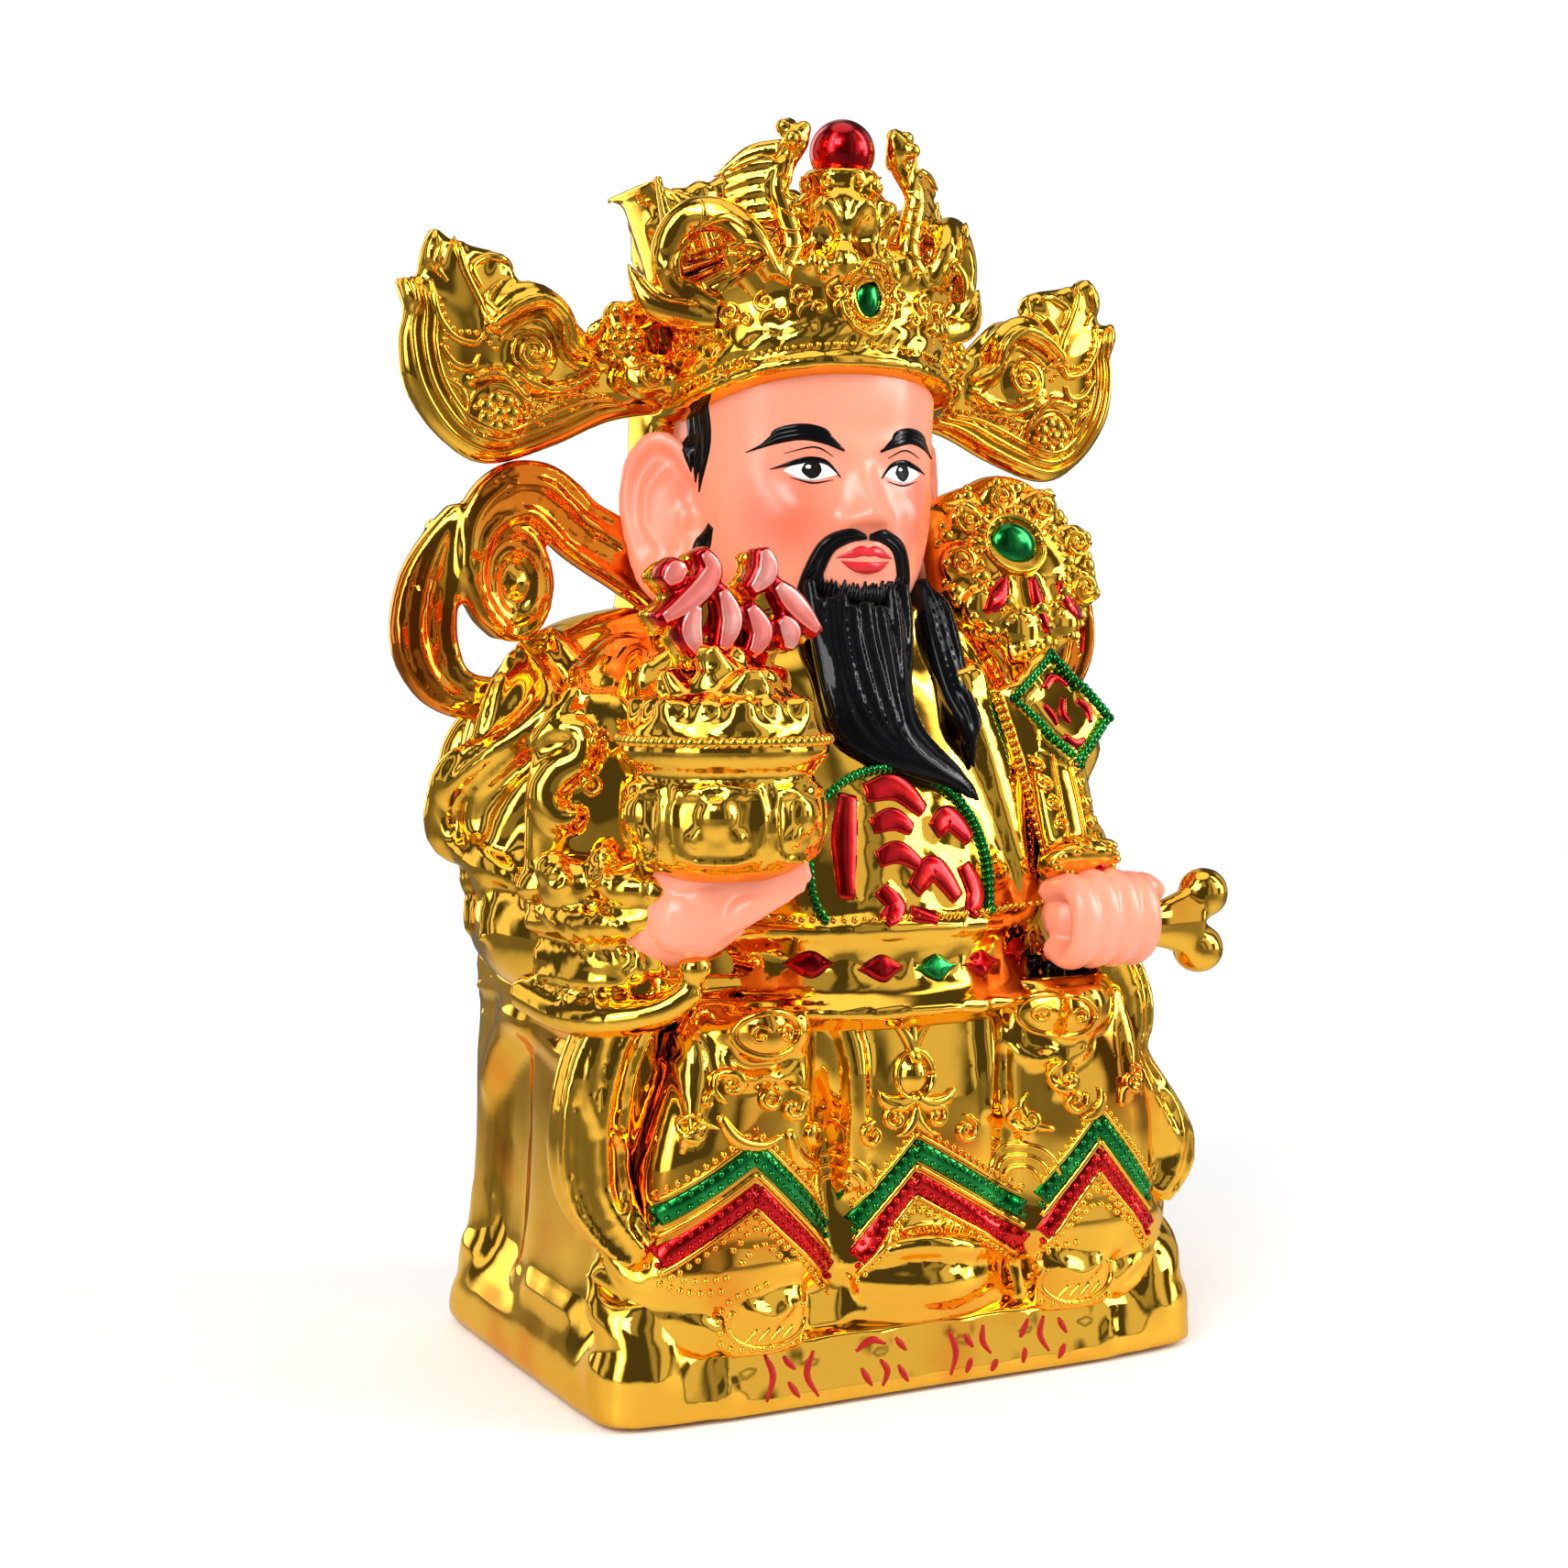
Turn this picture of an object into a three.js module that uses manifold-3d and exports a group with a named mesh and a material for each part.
// A seated god-of-wealth figure, cast in one piece with its plinth: ceramic, plated gold and hand painted.
// Millimetres, +Z up. The figure faces -Y, and +X is on the viewer's right. The origin is on the ground,
// under the middle of the crown ball's plane of symmetry and of the plinth.
import * as THREE from "three";
import { mergeVertices } from "three/addons/utils/BufferGeometryUtils.js";
import Module from "manifold-3d";

// Plinth
const PLINTH_WIDTH = 160;
const PLINTH_FRONT = 65;
const PLINTH_BACK = 46;
const PLINTH_HEIGHT = 17;
const PLINTH_FRONT_CORNER = 13;
const PLINTH_BACK_CORNER = 5;
const PLINTH_EDGE = 2;
const SLAB_WIDTH = 104;
const GROOVE_RADIUS = 2.6;

// Figure, from the plinth's top to the top of the crown ball
const FIGURE_HEIGHT = 279;
const DRAWN_HEIGHT = 279;
const DRAWN_PLINTH = 17;
const SUNK = 3;

const GOLD = "#e0a526";

const wasm = await Module();
wasm.setup();
const { Vector3, Euler, Matrix4 } = THREE;
const TURN = 2 * Math.PI;
const UNIT = FIGURE_HEIGHT / DRAWN_HEIGHT;

// A point of the figure. Its numbers are those of a 296 mm tall work, and they grow with FIGURE_HEIGHT.
const at = (x, y, z) =>
  new Vector3(x * UNIT, y * UNIT, PLINTH_HEIGHT + (z - DRAWN_PLINTH) * UNIT);

const mix = (a, b, t) => a + (b - a) * t;
const steps = (count, make) => Array.from({ length: count }, (_, i) => make(i));

// A solid from points and triangles, turned so that its faces point out.
function closed(points, triangles) {
  const geometry = new THREE.BufferGeometry().setFromPoints(points);
  geometry.setIndex(triangles);
  return solidOf(geometry);
}

function solidOf(geometry) {
  const bare = geometry.clone();
  bare.deleteAttribute("normal");
  bare.deleteAttribute("uv");
  const merged = mergeVertices(bare, 1e-4);
  const vertProperties = merged.attributes.position.array;
  const triVerts = new Uint32Array(merged.index.array);
  const made = new wasm.Manifold(new wasm.Mesh({ numProp: 3, vertProperties, triVerts }));
  if (made.volume() > 0) return made;
  return new wasm.Manifold(new wasm.Mesh({ numProp: 3, vertProperties, triVerts: triVerts.reverse() }));
}

const fuse = (solids) => solids.flat(Infinity).reduce((all, next) => all.add(next));

// The closed skin over a row of rings, all with as many points, with a fan over each end.
function skin(rings) {
  const count = rings[0].length;
  const points = rings.flat();
  const triangles = [];
  for (let r = 0; r + 1 < rings.length; r++)
    for (let i = 0; i < count; i++) {
      const a = r * count + i;
      const b = r * count + ((i + 1) % count);
      triangles.push(a, b, b + count, a, b + count, a + count);
    }
  for (const [first, turned] of [[0, true], [(rings.length - 1) * count, false]]) {
    const middle = new Vector3();
    for (let i = 0; i < count; i++) middle.addScaledVector(points[first + i], 1 / count);
    const tip = points.push(middle) - 1;
    for (let i = 0; i < count; i++) {
      const a = first + i;
      const b = first + ((i + 1) % count);
      triangles.push(...(turned ? [b, a, tip] : [a, b, tip]));
    }
  }
  return closed(points, triangles);
}

// Signed power, for the squared-off ovals of cloth and plinth.
const bulge = (v, power) => Math.sign(v) * Math.abs(v) ** (2 / power);

// Stacked ovals, squarer with a higher power: each row is [z, half width, front y, back y, middle x].
function stack(rows, count, frontPower = 2.4, backPower = frontPower) {
  return skin(
    rows.map(([z, half, front, back, x = 0]) =>
      steps(count, (i) => {
        const turn = (TURN * (i + 0.5)) / count;
        const power = i < count / 2 ? backPower : frontPower;
        const y = (front + back) / 2 + ((back - front) / 2) * bulge(Math.sin(turn), power);
        return at(x + half * bulge(Math.cos(turn), power), y, z);
      }),
    ),
  );
}

// A smooth line through points given as [x, y, z].
const line = (points) => new THREE.CatmullRomCurve3(points.map((p) => at(...p)));

// A band swept along a line. widths and depths run evenly from its start to its end: width lies across the
// line in the plane that faces flat, and depth along flat.
function band(points, widths, depths, { sides = 8, stations = 10, flat = [0, 1, 0], power = 2 } = {}) {
  const path = line(points);
  const face = new Vector3(...flat).normalize();
  const along = (values, t) => {
    const place = t * (values.length - 1);
    const first = Math.min(Math.floor(place), values.length - 2);
    return mix(values[first], values[first + 1], place - first) * UNIT;
  };
  return skin(
    steps(stations + 1, (s) => {
      const t = s / stations;
      const middle = path.getPoint(t);
      const forward = path.getTangent(t);
      const across = forward.clone().cross(face).normalize();
      const out = across.clone().cross(forward).normalize();
      return steps(sides, (i) => {
        const turn = (TURN * (i + 0.5)) / sides;
        return middle
          .clone()
          .addScaledVector(across, (along(widths, t) / 2) * bulge(Math.cos(turn), power))
          .addScaledVector(out, (along(depths, t) / 2) * bulge(Math.sin(turn), power));
      });
    }),
  );
}

// An ellipsoid at a point, with its three radii and its turn about X, Y and Z in radians.
function ball(middle, radii, turned = [0, 0, 0], across = 8, up = 5) {
  const geometry = new THREE.SphereGeometry(1, across, up);
  geometry.rotateX(Math.PI / 2);
  geometry.scale(...radii.map((r) => r * UNIT));
  geometry.applyMatrix4(new Matrix4().makeRotationFromEuler(new Euler(...turned)));
  const place = at(...middle);
  geometry.translate(place.x, place.y, place.z);
  return solidOf(geometry);
}

// A coarse ellipsoid for the small lumps of the carving.
const bead = (middle, radii, turned) => ball(middle, radii, turned, 6, 4);

// A turned form about an upright axis: each row is [radius, z].
function turned(x, y, rows, count = 14) {
  return skin(
    rows.map(([radius, z]) =>
      steps(count, (i) => {
        const turn = (TURN * i) / count;
        return at(x + radius * Math.cos(turn), y + radius * Math.sin(turn), z);
      }),
    ),
  );
}

// A plate that faces the front, swollen towards its middle: outline is [x, z] pairs on a closed line.
function swollenPlate(outline, middle, y, thickness, crown) {
  const ring = (share, depth) =>
    outline.map(([x, z]) => at(mix(middle[0], x, share), y + depth, mix(middle[1], z, share)));
  const front = [ring(0.5, -thickness / 2 - crown), ring(1, -thickness / 4)];
  const back = [ring(1, thickness / 4), ring(0.7, thickness / 2)];
  return skin([...front, ...back]);
}

const bothSides = (make) => [make(-1), make(1)];

// Front y of an upright oval with its middle at (x0, y0) and the two half widths.
const ovalFront = (x0, y0, halfX, halfY) => (x) =>
  y0 - halfY * Math.sqrt(Math.max(0.02, 1 - ((x - x0) / halfX) ** 2));

// The plinth: a slab that flares down to the ground, with a groove beside each front corner foot.
function plinth() {
  const arc = 3;
  const ring = (z, inset) => {
    const halfWidth = PLINTH_WIDTH / 2 - inset;
    const front = -PLINTH_FRONT + inset;
    const back = PLINTH_BACK - inset;
    const corners = [
      [halfWidth, back, PLINTH_BACK_CORNER],
      [-halfWidth, back, PLINTH_BACK_CORNER],
      [-halfWidth, front, PLINTH_FRONT_CORNER],
      [halfWidth, front, PLINTH_FRONT_CORNER],
    ];
    return corners.flatMap(([x, y, radius], corner) =>
      steps(arc, (i) => {
        const turn = (Math.PI / 2) * (corner + i / (arc - 1));
        const middleX = x - Math.sign(x) * radius;
        const middleY = y - Math.sign(y) * radius;
        return new Vector3(middleX + radius * Math.cos(turn), middleY + radius * Math.sin(turn), z);
      }),
    );
  };
  const slab = skin([
    ring(0, PLINTH_EDGE / 2),
    ring(PLINTH_EDGE, 0),
    ring(PLINTH_HEIGHT / 2, PLINTH_EDGE / 2),
    ring(PLINTH_HEIGHT, PLINTH_EDGE * 2),
  ]);
  const groove = (side) => {
    const geometry = new THREE.CylinderGeometry(GROOVE_RADIUS, GROOVE_RADIUS, PLINTH_HEIGHT * 2, 6);
    geometry.rotateX(Math.PI / 2);
    geometry.translate(side * (SLAB_WIDTH / 2 + GROOVE_RADIUS), -PLINTH_FRONT, PLINTH_HEIGHT);
    return solidOf(geometry);
  };
  return bothSides(groove).reduce((left, cut) => left.subtract(cut), slab);
}

// The swelling foot of the plinth's corner, under a curl of the throne's front post.
function cornerFoot(side) {
  const radius = PLINTH_FRONT_CORNER;
  const foot = new THREE.SphereGeometry(1, 8, 5);
  foot.rotateX(Math.PI / 2);
  foot.scale(radius, radius, PLINTH_HEIGHT * 0.64);
  foot.translate(side * (PLINTH_WIDTH / 2 - radius), radius - PLINTH_FRONT, PLINTH_HEIGHT * 0.7);
  return [solidOf(foot), bead([side * 66, -53, 24], [10.5, 9, 7])];
}

// The robe over the throne block, from the plinth to the waist, with an arched panel sunk in each side.
function robeBlock() {
  const block = stack(
    [
      [DRAWN_PLINTH - SUNK, 77, -61, 45],
      [28, 73, -59, 44],
      [45, 71.5, -58, 43],
      [99, 69, -48, 42],
      [106, 60, -40, 36],
    ],
    16,
    3,
    9,
  );
  const panel = (side) =>
    band([[side * 71.5, 12, 30], [side * 71, 12, 52], [side * 70, 12, 64]], [26, 24, 10], [5, 5, 5], {
      sides: 6,
      stations: 3,
      flat: [1, 0, 0],
      power: 4,
    });
  return bothSides(panel).reduce((left, cut) => left.subtract(cut), block);
}

// The skirt's three lobes, over the two knees and between them: middle x, half width, front y, and the heights of
// the hem border's apex and ends.
const KNEE = { x: 46, half: 23, front: -66.5, apex: 63, end: 42 };
const MIDDLE = { x: 4, half: 26, front: -62, apex: 56, end: 36 };
const LOBE_BACK = -26;
const HEM_WIDTH = 13;
const HEM_RELIEF = 1.6;

function lobeFront(lobe, x0) {
  const depth = LOBE_BACK - lobe.front;
  return ovalFront(x0, lobe.front + depth / 2, lobe.half, depth / 2);
}

function skirtLobe(lobe, x0, topHalf, topX) {
  return stack(
    [
      [31, lobe.half - 3, lobe.front + 4, LOBE_BACK, x0],
      [37, lobe.half, lobe.front, LOBE_BACK, x0],
      [55, lobe.half - 0.5, lobe.front, LOBE_BACK, x0],
      [93, topHalf, lobe.front + 5, LOBE_BACK - 4, topX],
    ],
    10,
    2.3,
  );
}

// A hem border: a broad raised band in an upside-down V that wraps round a lobe.
function hemBorder(lobe, x0) {
  const front = lobeFront(lobe, x0);
  return skin(
    [-0.9, -0.5, 0, 0.5, 0.9].map((share) => {
      const x = x0 + share * lobe.half;
      const top = mix(lobe.apex, lobe.end, Math.abs(share));
      const section = [[-HEM_RELIEF, 0], [3, 0], [3, -HEM_WIDTH], [-HEM_RELIEF, -HEM_WIDTH]];
      return section.map(([depth, down]) => at(x, front(x) + depth, top + down));
    }),
  );
}

function skirt() {
  const coarse = { stations: 4, sides: 4 };
  const capOf = (side) =>
    band([[side * 54, -54, 84], [side * 40, -66, 84], [side * 27, -54, 84]], [8, 11, 8], [7, 8, 7], coarse);
  const knees = bothSides((side) => [
    skirtLobe(KNEE, side * KNEE.x, 14, side * (KNEE.x - 5)),
    hemBorder(KNEE, side * KNEE.x),
    capOf(side),
  ]);
  const middle = [skirtLobe(MIDDLE, MIDDLE.x, 27, 0), hemBorder(MIDDLE, MIDDLE.x)];
  const fold = band([[-18, -54, 36], [6, -63, 27], [30, -54, 36]], [5, 9, 5], [8, 10, 8], coarse);
  const mound = bead([4, -51, 20], [27, 13, 9]);
  return [knees, middle, fold, mound];
}

// A boot's toe, square and slightly puffed, on the plinth.
function boot(side) {
  return stack(
    [
      [DRAWN_PLINTH - SUNK, 12, -65, -40, side * 41],
      [27, 12.5, -66, -40, side * 41],
      [32, 9, -62, -40, side * 41],
    ],
    8,
    4,
  );
}

// The long end of a sash that hangs in an S over the throne's front corner. The one under the sceptre hangs
// closer and has a narrow waist.
const SASHES = [
  {
    path: [[-63, -50, 100], [-73, -48, 84], [-77, -47, 66], [-76, -49, 50], [-68, -57, 37]],
    widths: [14, 17, 18, 16, 8],
  },
  {
    path: [[55, -51, 101], [61, -52, 84], [60, -52, 72], [69, -52, 55], [73, -53, 46], [67, -56, 37]],
    widths: [12, 14, 12, 18, 15, 8],
  },
];

const hangingSash = ({ path, widths }) => band(path, widths, [14, 15, 15, 8], { sides: 5, stations: 6 });

// The trunk, from the belt with its two rolled rims to the shoulders. Rows: [z, half width, front y, back y].
const TRUNK = [
  [84, 51, -62, 33],
  [88.5, 54, -66.5, 34],
  [91.5, 54, -66, 34],
  [94.5, 51, -62, 33],
  [104, 50, -60.5, 33],
  [106, 53, -64, 34],
  [108.5, 52, -60, 33],
  [122, 56, -57, 33],
  [148, 56, -46.5, 31],
  [163, 52, -38, 30],
  [173, 46, -31, 29],
  [180, 37, -29, 28],
  [184, 31, -24, 27],
];

// Front y of the trunk at an x and a height, by its rows.
function trunkFront(x, z) {
  const upper = Math.max(1, TRUNK.findIndex((row) => row[0] >= z));
  const below = TRUNK[upper - 1];
  const t = (z - below[0]) / (TRUNK[upper][0] - below[0]);
  const [half, front, back] = below.slice(1).map((value, i) => mix(value, TRUNK[upper][i + 1], t));
  return ovalFront(0, (front + back) / 2, half, (back - front) / 2)(x);
}

const BADGE = { x: 1, z: 124.5, radius: 20 };

// The chest's round badge, a raised disc with a rim, and the belt's middle gem.
function ornaments() {
  const ring = (share, relief) =>
    steps(12, (i) => {
      const turn = (TURN * i) / 12;
      const x = BADGE.x + share * BADGE.radius * Math.cos(turn);
      const z = BADGE.z + share * BADGE.radius * Math.sin(turn);
      return at(x, trunkFront(x, z) - relief, z);
    });
  const disc = skin([ring(0.82, 2), ring(0.88, 3.4), ring(1, 3.4), ring(1, -5)]);
  return [disc, bead([0, trunkFront(0, 99), 99], [5.5, 3.5, 3.6])];
}

// A sleeve: it widens from the shoulder to a ruffled hem at the elbow, and the forearm comes out under it.
// reach is how far out the elbow is.
function sleeve(side, reach, wrist) {
  const upper = band(
    [
      [side * 38, 8, 170],
      [side * (reach - 13), 6, 160],
      [side * (reach - 3), 2, 142],
      [side * (reach - 4), -8, 117],
    ],
    [24, 32, 38, 40],
    [32, 36, 42, 48],
    { sides: 7, stations: 4 },
  );
  const ruffle = band(
    [
      [side * (reach + 1), 20, 140],
      [side * (reach + 14), 6, 136],
      [side * (reach + 11), -14, 124],
      [side * (reach - 8), -32, 120],
      [side * (reach - 26), -34, 124],
    ],
    [9, 12, 9, 9, 6],
    [10, 10, 9, 8, 6],
    { stations: 5, sides: 4, flat: [0, 0, 1] },
  );
  const elbow = [side * (reach - 4), 8, 107];
  const fore = band([elbow, [side * (reach - 3), -22, 106], wrist], [29, 31, 26], [28, 30, 26], {
    sides: 7,
    stations: 3,
    flat: [0, 0, 1],
  });
  return [upper, ruffle, fore];
}

// The right arm's cuff: a beast's open jaws, an upper and a lower lip about the wrist, and its brow.
function jawCuff(wrist) {
  const [x, y, z] = wrist;
  const lip = (lift, width) => {
    const root = [x - 14, y + 18, z + lift * 0.5];
    const path = [root, [x - 2, y - 2, z + lift], [x + 8, y - 14, z + lift * 0.8]];
    return band(path, [18, width, 8], [9, 8, 5], { stations: 3, sides: 5, flat: [0, 0, 1] });
  };
  return [lip(11, 20), lip(-13, 22), bead([x - 10, y + 4, z + 15], [9, 8, 6])];
}

// The open right hand under the pot: a palm that narrows to the fingers' tips, and the thumb.
function openHand() {
  const path = [[-67, -55, 108], [-57, -67, 110], [-47, -76, 116], [-39, -81, 122.5]];
  const palm = band(path, [26, 25, 15, 5], [14, 20, 16, 8], { sides: 7, stations: 4 });
  const thumbPath = [[-69, -62, 119], [-64, -74, 123], [-56, -82, 123]];
  const thumb = band(thumbPath, [10, 9, 5], [10, 8, 5], { sides: 5, stations: 4 });
  return [palm, thumb];
}

const POT = { x: -56, y: -69 };

// The treasure pot: a belly with two bosses under a rolled rim.
function pot() {
  const profile = [[13, 121], [20, 125], [23, 132], [22.6, 139], [21.2, 143.5], [23.8, 148], [21, 153]];
  const belly = turned(POT.x, POT.y, profile);
  const bosses = [-2.5, -1.35].map((turn) =>
    bead([POT.x + 20 * Math.cos(turn), POT.y + 20 * Math.sin(turn), 133], [8, 7, 7]),
  );
  return [belly, bosses];
}

// A boat-shaped ingot, with raised ends.
function ingot(turn, reach, z, length) {
  const x = POT.x + reach * Math.cos(turn);
  const y = POT.y + reach * Math.sin(turn);
  const dx = -Math.sin(turn) * length * 0.5;
  const dy = Math.cos(turn) * length * 0.5;
  const path = [[x - dx, y - dy, z + 5], [x, y, z + 1.5], [x + dx, y + dy, z + 5]];
  return band(path, [3, 12, 3], [2.5, 9, 2.5], { sides: 4, stations: 4, flat: [0, 0, 1] });
}

// The heap of ingots on the pot.
function treasure() {
  const heap = turned(POT.x, POT.y, [[20, 150], [21, 156], [16, 163], [6, 170]], 8);
  const lower = [-2.7, -1.1].map((turn) => ingot(turn, 17, 155, 26));
  return [heap, lower, ingot(-1.8, 9, 164, 20)];
}

// The red crest on the heap: a cluster of bold strokes that spells nothing.
function crest() {
  const y = POT.y + 2;
  const bars = [
    [[-62, 193], [-58, 186], [-76, 177]],
    [[-63, 183], [-62, 176], [-65, 167]],
    [[-45, 192], [-44, 182], [-51, 168]],
    [[-46, 184], [-40, 179], [-32, 173]],
    [[-60, 180], [-50, 183], [-43, 182]],
    [[-60, 171], [-52, 170], [-46, 166]],
  ];
  return bars.map((points) =>
    band(points.map(([x, z]) => [x, y, z]), [5, 6, 4.5], [6, 7, 6], { sides: 4, stations: 2, power: 3 }),
  );
}

const FIST = { x: 48, y: -64, z: 107 };

// The left fist round the sceptre: a palm that swells at each of the four fingers, and the thumb.
function fist() {
  const { x, y, z } = FIST;
  const half = [[4, 1], [8, 0.88], [11.5, 0.96], [15, 0.58]];
  const bends = [...half.map(([along, share]) => [-along, share]).reverse(), [0, 0.88], ...half];
  const hand = skin(
    bends.map(([along, share]) =>
      steps(8, (i) => {
        const turn = (TURN * (i + 0.5)) / 8;
        return at(x + along, y + 3 + 13 * share * Math.cos(turn), z + 11 * share * Math.sin(turn));
      }),
    ),
  );
  const thumbPath = [[x + 10, y + 4, z + 7], [x + 17, y - 1, z + 9], [x + 22, y, z + 6]];
  const thumb = band(thumbPath, [9, 8, 6], [9, 8, 6], { sides: 5, stations: 3 });
  return [hand, thumb];
}

const SCEPTRE_HEAD = { x: 52, y: -14, z: 191, half: 24.5, lobes: 5, lean: 0.35 };

// The wish sceptre: a cloud-shaped head with a boss, a stem with a plaque, and a lobed tail past the fist.
function sceptre() {
  const { x, y, z, half, lobes, lean } = SCEPTRE_HEAD;
  const count = lobes * 3;
  const rim = (share, depth) =>
    steps(count, (i) => {
      const turn = (TURN * i) / count;
      const reach = half * share * (1 + 0.07 * Math.cos(lobes * turn));
      const lift = 0.95 * reach * Math.sin(turn);
      return at(x + reach * Math.cos(turn), y + depth + lift * lean, z + lift);
    });
  const head = skin([rim(0.4, -9), rim(0.85, -6), rim(1, 0), rim(0.7, 6)]);
  const boss = ball([x - 1, y - 7, z + 6], [9, 6, 7], [-lean, 0, 0], 8, 4);
  const stem = band(
    [[50, -24, 174], [49, -34, 158], [48, -44, 142], [49, -53, 126], [FIST.x, FIST.y + 3, FIST.z + 6]],
    [13, 13, 13, 14, 15],
    [9, 9, 9, 10, 10],
    { stations: 4, sides: 5 },
  );
  const plaqueRing = (share, depth) =>
    [[-1, 0.1], [-0.05, 1], [1, -0.2], [0.1, -1]].map(([across, up]) =>
      at(53 + 14 * share * across, -38 + depth + 13.5 * share * up * lean, 156 + 13.5 * share * up),
    );
  const plaque = skin([plaqueRing(0.8, -3.5), plaqueRing(1, -2), plaqueRing(1, 3)]);
  const collar = bead([48, -60, 120], [13, 7, 5], [-lean, 0, 0]);
  const tailPath = [[56, -62, 108], [68, -60, 105], [79, -58, 104]];
  const tail = band(tailPath, [9, 8, 13], [9, 8, 9], { sides: 5, stations: 3 });
  const tailLobes = [[82.5, -57, 110.5], [80.5, -57, 97.5]].map((middle) => bead(middle, [7, 6, 6.5]));
  return [head, boss, stem, plaque, collar, tail, tailLobes];
}

const HEAD_HALF = 31;

// Height of the face's forms over the oval of the head: calm, plain features at the usual proportions.
function faceRelief(x, z) {
  const dome = (x0, z0, halfX, halfZ) => Math.max(0, 1 - ((x - x0) / halfX) ** 2 - ((z - z0) / halfZ) ** 2);
  const onBoth = (x0, z0, halfX, halfZ) => dome(-x0, z0, halfX, halfZ) + dome(x0, z0, halfX, halfZ);
  const ridge = Math.max(0, 1 - Math.abs(x) / 6);
  const nose = z > 201 ? 7 * ridge * Math.max(0, Math.min(1, (222 - z) / 15)) : 0;
  const brows = 1.6 * onBoth(12, 221, 12, 4);
  const sockets = 2.4 * onBoth(12, 215, 9, 5);
  const cheeks = 2 * onBoth(16, 204, 10, 8);
  const mouth = 2.4 * dome(0, 194, 9, 5);
  const chin = 2 * dome(0, 183, 10, 6);
  return nose + brows - sockets + cheeks + mouth + chin;
}

// The head: rows of [z, half width, front y, half width of the flap behind it that falls from the hat to the
// shoulders]. The ears are long.
const HEAD = [
  [172, 13, -24, 42],
  [180, 21, -31.5, 38],
  [189, 26, -33, 34],
  [194, 28, -33, 34],
  [199, 29, -33, 34],
  [204, 30, -33, 34],
  [209, 30.5, -33, 34],
  [215, 31, -33, 34],
  [221, 31, -32.5, 34],
  [236, 30, -31, 34],
];

function head() {
  const faceShares = [0, 0.15, 0.33, 0.55, 0.8];
  const skull = skin(
    HEAD.map(([z, half, front, flap]) => {
      const face = faceShares.map((share) => {
        const depth = (1 - share ** 2.4) ** 0.5;
        return [share * half, (front - faceRelief(share * HEAD_HALF, z)) * depth];
      });
      const rest = [[half, -4], [flap, 9], [flap - 4, 33]];
      const ring = [...face, ...rest];
      const mirrored = ring.slice(1).reverse().map(([x, y]) => [-x, y]);
      return [...ring, ...mirrored].map(([x, y]) => at(x, y, z));
    }),
  );
  const ears = bothSides((side) => ball([side * 33.5, 0, 203], [5, 7.5, 18], [0, 0, side * 0.3], 6, 6));
  return [skull, ears];
}

// Moustache, chin beard swept to the figure's left, and the side lock.
function beard() {
  const moustache = bothSides((side) => {
    const path = [[0, -37, 200], [side * 9, -36.5, 198], [side * 14.5, -36, 187], [side * 13, -40, 166]];
    return band(path, [4, 5, 5, 4], [5, 5, 5, 5], { sides: 4, stations: 5 });
  });
  const main = band(
    [[0, -33, 187], [-1, -38, 176], [-2, -43, 163], [6, -49, 150], [19, -52, 141], [28, -51.5, 135]],
    [24, 29, 30, 26, 15, 3],
    [8, 11, 12, 11, 8, 3],
    { sides: 7, stations: 7 },
  );
  const lockPath = [[23, -24, 184], [24, -33, 172], [27, -42, 158], [31, -48, 143]];
  const lock = band(lockPath, [8, 8, 8, 3], [9, 9, 8, 3], { sides: 4, stations: 4 });
  return [moustache, main, lock];
}

// The hat, with a rolled brim, a brow band between two rims, and a crown. Rows: [z, half width, front y,
// back y, rise of the front].
const HAT = [
  [225, 33, -33, 33, 12],
  [227, 35.5, -36.5, 35, 12],
  [230, 35.5, -36.5, 35, 12],
  [232.5, 34, -34.5, 34, 12],
  [247, 34, -32, 34, 12],
  [249, 36, -33, 35, 12],
  [252, 35, -31.5, 34, 11],
  [262, 27, -23, 30, 6],
];

function hat() {
  const count = 14;
  const band = skin(
    HAT.map(([z, half, front, back, rise]) =>
      steps(count, (i) => {
        const turn = (TURN * (i + 0.5)) / count;
        const forward = Math.max(0, -Math.sin(turn));
        const y = (front + back) / 2 + ((back - front) / 2) * bulge(Math.sin(turn), 2.3);
        return at(half * bulge(Math.cos(turn), 2.3), y, z + rise * forward);
      }),
    ),
  );
  const tower = stack([[248, 31, -6, 34], [262, 31.5, -4, 34], [283, 37, -3, 36]], 10, 3.4);
  const scoop = ball([0, 10, 290], [31, 60, 12], [0, 0, 0], 8, 4);
  const crestBalls = [-13, 13].map((x) => bead([x, 30, 283], [11, 4.5, 7]));
  const gem = ball([0, -35.5, 251], [8, 4, 9.5], [0, 0, 0], 8, 4);
  return [band, tower.subtract(scoop), crestBalls, gem];
}

// The vase-shaped finial on the hat's front and the round jewel on it.
function finial() {
  const vase = turned(-1.5, -24, [[14, 258], [7.5, 268], [11.5, 278], [5, 283]], 8);
  return [vase, ball([-1, -24, 288], [8, 8, 8], [0, 0, 0], 10, 6)];
}

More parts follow.
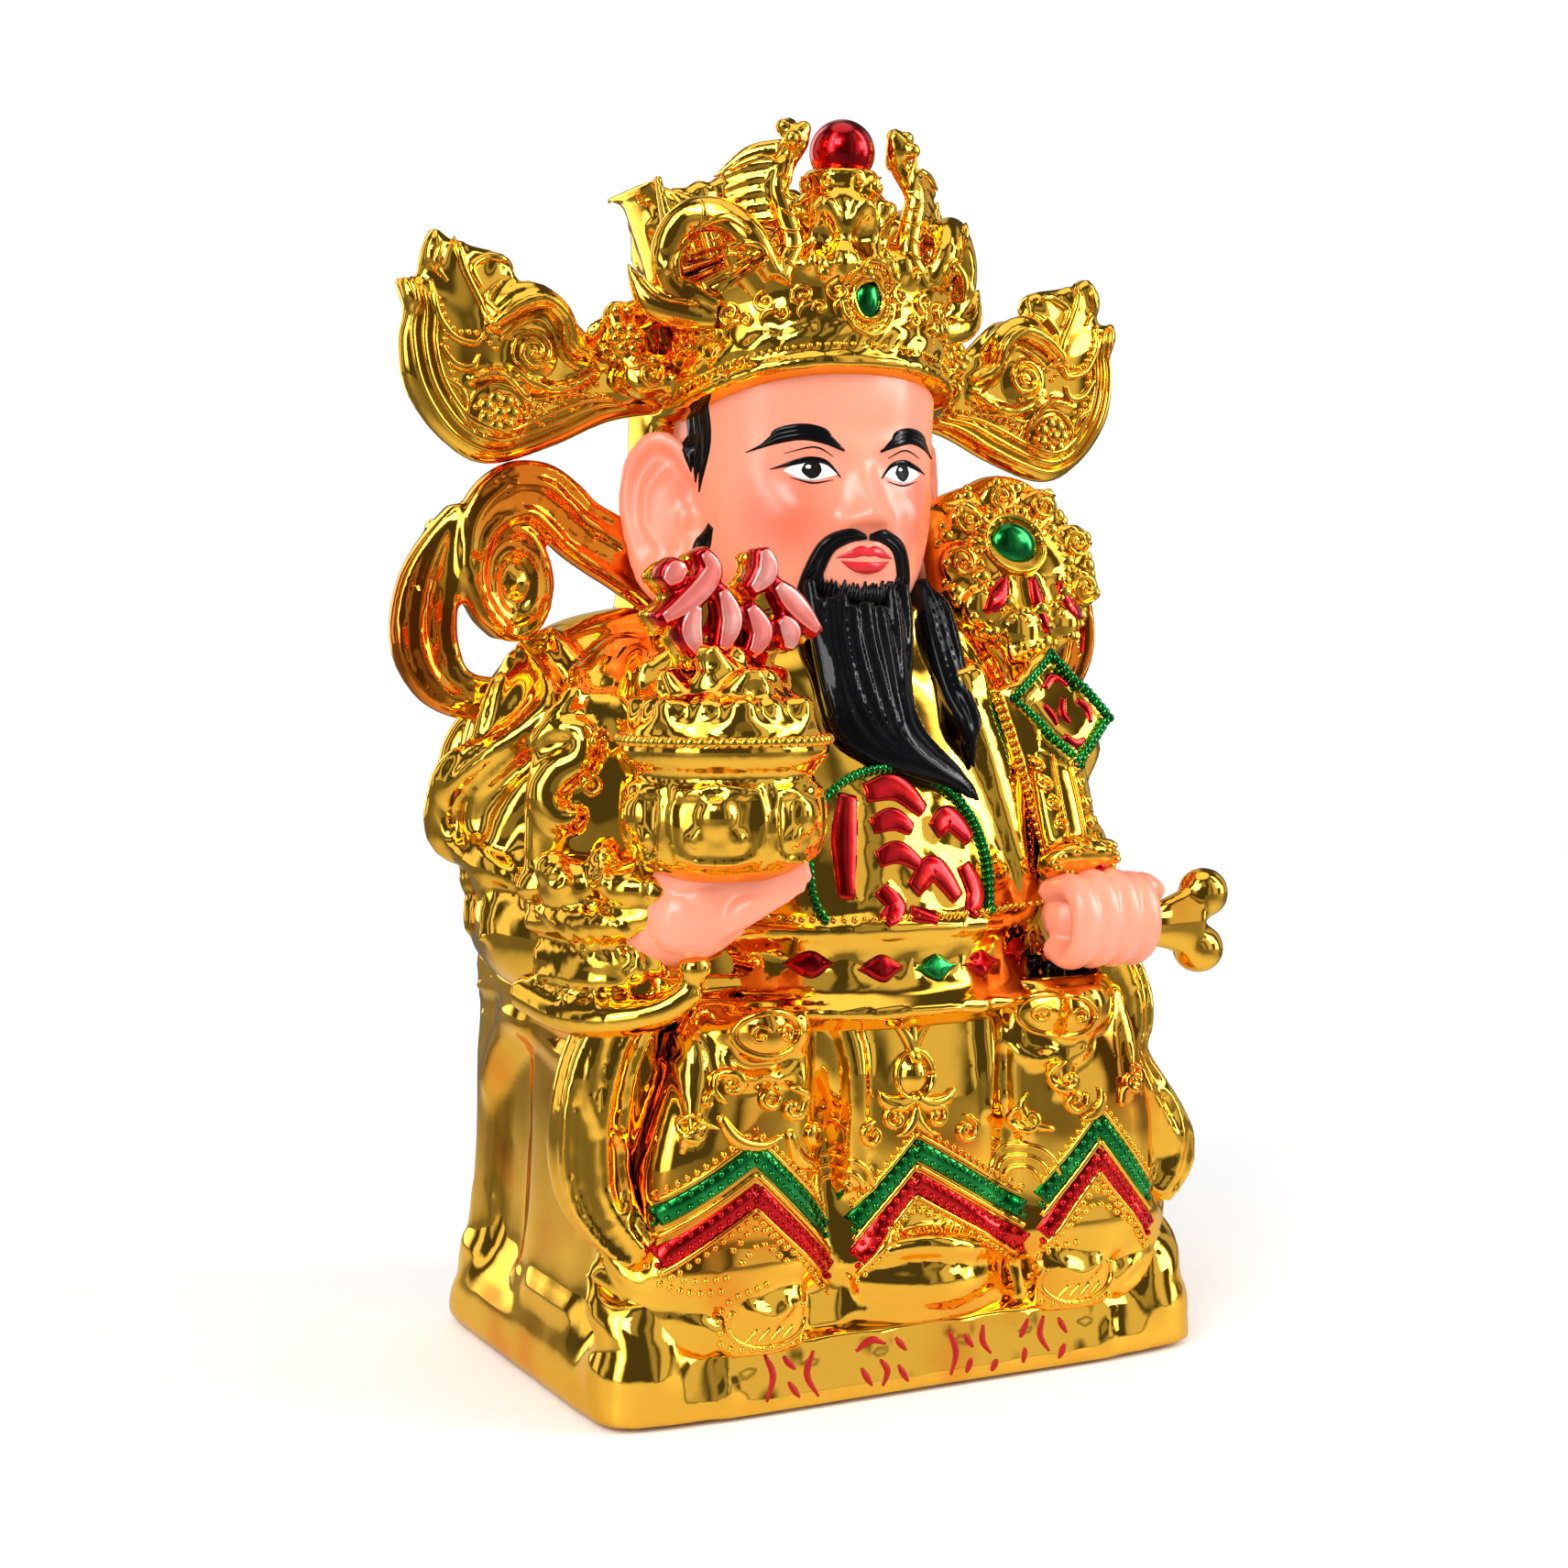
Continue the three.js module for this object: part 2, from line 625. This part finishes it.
// One of the pair of beasts that climb to the jewel: neck and head, feathers, coiled body and leaf curl.
function climbingBeast(side) {
  const neck = band(
    [[side * 22, -28, 257], [side * 15, -27, 268], [side * 17, -24, 280], [side * 15, -22, 290]],
    [9, 8, 8, 8],
    [9, 8, 7, 8],
    { sides: 5, stations: 4 },
  );
  const muzzle = bead([side * 17, -22, 290.5], [6, 4.5, 4], [0, side * 0.6, 0]);
  const coarse = { sides: 4, stations: 3 };
  const plumes = [[side * 16, -20, 276], [side * 26, -16, 278], [side * 34, -12, 280]];
  const feathers = band(plumes, [14, 10, 2.5], [6, 6, 3], coarse);
  const coil = band(
    [
      [side * 25, -27, 252],
      [side * 25, -26, 264],
      [side * 31, -20, 270],
      [side * 37.5, -16, 263],
      [side * 34, -19, 253],
    ],
    [9, 10, 10, 9, 6],
    [9, 9, 9, 8, 6],
    { sides: 5, stations: 5 },
  );
  const curl = [[side * 33, -18, 246], [side * 43, -13, 248.5], [side * 51.5, -10, 261]];
  const leaf = band(curl, [7, 9, 2], [7, 7, 3], coarse);
  return [neck, muzzle, feathers, coil, leaf];
}

const WING_OUTLINE = [
  [29, 229], [47, 226], [62, 219.5], [78, 215], [89, 220.5], [97.5, 232], [99.5, 242], [98, 250], [100, 256],
  [94.5, 256.5], [94, 263.5], [90.5, 268.5], [86, 265.5], [72.5, 263], [72, 256], [63, 255], [51, 245],
  [46, 252], [38, 255], [29, 246],
];

// A hat wing: a swollen cloud plate with a scroll and a sweeping leaf in relief, and a knob at its root.
function wing(side) {
  const y = 11;
  const plate = swollenPlate(WING_OUTLINE.map(([x, z]) => [side * x, z]), [side * 70, 238], y, 8, 2.5);
  const rib = (points, widths) =>
    band(points.map(([x, z]) => [side * x, y - 5, z]), widths, [5, 5], { sides: 4, stations: 3 });
  const scroll = rib([[55, 246], [62, 252], [72, 245], [67, 235], [62, 241]], [4, 5, 5, 4, 3]);
  const sweep = rib([[46, 234], [60, 231], [74, 230], [86, 240], [92, 252]], [4, 5, 7, 3]);
  const knob = bead([side * 39, y - 3, 241], [9, 8, 12]);
  return [plate, scroll, sweep, knob];
}

// The stole that flies out behind each ear: a broad band that rises and rolls into a scroll, and a tail that
// swings out and back to the shoulder. reach is its spread as a share of the right one's.
function stole(side, reach) {
  const place = (points) => points.map(([x, y, z]) => [side * (36 + (x - 36) * reach), y, z]);
  const rising = band(
    place([[34, 14, 188], [46, 13, 195], [57, 12, 203.5], [67, 11, 206.5], [75, 11, 202], [79, 11, 192]]),
    [17, 17, 17, 15, 14, 10],
    [12, 12, 12, 12, 13, 12],
    { sides: 5, stations: 6 },
  );
  const scroll = ball(place([[74.5, 10, 187]])[0], [11 * reach, 7.5, 14.5]);
  const swing = [[79, 13, 206], [89, 13, 194], [96, 13, 181], [97, 12, 171], [90, 11, 161.5], [80, 10, 157]];
  const falling = band(
    place([...swing, [66, 8, 160]]),
    [8, 10, 12, 13, 12, 12, 12],
    [10, 12, 13, 13, 12, 12, 12],
    { sides: 5, stations: 7 },
  );
  return [rising, scroll, falling];
}

function figure() {
  const rightWrist = [-66, -48, 105];
  const leftWrist = [50, -50, 106];
  return fuse([
    plinth(),
    bothSides(cornerFoot),
    robeBlock(),
    skirt(),
    bothSides(boot),
    SASHES.map(hangingSash),
    stack(TRUNK, 14, 2.2),
    ornaments(),
    sleeve(-1, 73, rightWrist),
    sleeve(1, 62, leftWrist),
    jawCuff(rightWrist),
    openHand(),
    pot(),
    treasure(),
    crest(),
    fist(),
    sceptre(),
    head(),
    beard(),
    hat(),
    finial(),
    bothSides(climbingBeast),
    bothSides(wing),
    stole(-1, 1),
    stole(1, 0.88),
  ]);
}

// The triangles of a solid's largest skin, without those of any sealed pocket inside it.
function outerSkin(count, triangles) {
  const parent = Array.from({ length: count }, (_, i) => i);
  const root = (i) => {
    while (parent[i] !== i) i = parent[i] = parent[parent[i]];
    return i;
  };
  for (let t = 0; t < triangles.length; t += 3) {
    parent[root(triangles[t])] = root(triangles[t + 1]);
    parent[root(triangles[t + 1])] = root(triangles[t + 2]);
  }
  const sizes = new Map();
  for (const i of triangles) sizes.set(root(i), (sizes.get(root(i)) ?? 0) + 1);
  const [outer] = [...sizes].reduce((best, entry) => (entry[1] > best[1] ? entry : best));
  return triangles.filter((_, i) => root(triangles[i - (i % 3)]) === outer);
}

// A named mesh from a solid.
function mesh(name, solid, material) {
  const { numProp, vertProperties, triVerts } = solid.getMesh();
  const positions = new Float32Array((vertProperties.length / numProp) * 3);
  for (let i = 0; i < positions.length / 3; i++)
    positions.set(vertProperties.subarray(i * numProp, i * numProp + 3), i * 3);
  const geometry = new THREE.BufferGeometry();
  geometry.setAttribute("position", new THREE.BufferAttribute(positions, 3));
  geometry.setIndex(new THREE.BufferAttribute(outerSkin(positions.length / 3, triVerts), 1));
  geometry.computeVertexNormals();
  const made = new THREE.Mesh(geometry, material);
  made.name = name;
  return made;
}

const goldPlated = new THREE.MeshStandardMaterial({ color: GOLD, roughness: 0.15, metalness: 1 });

const group = new THREE.Group();
group.name = "caishen";
group.add(mesh("caishen_figure", figure(), goldPlated));

export default group;
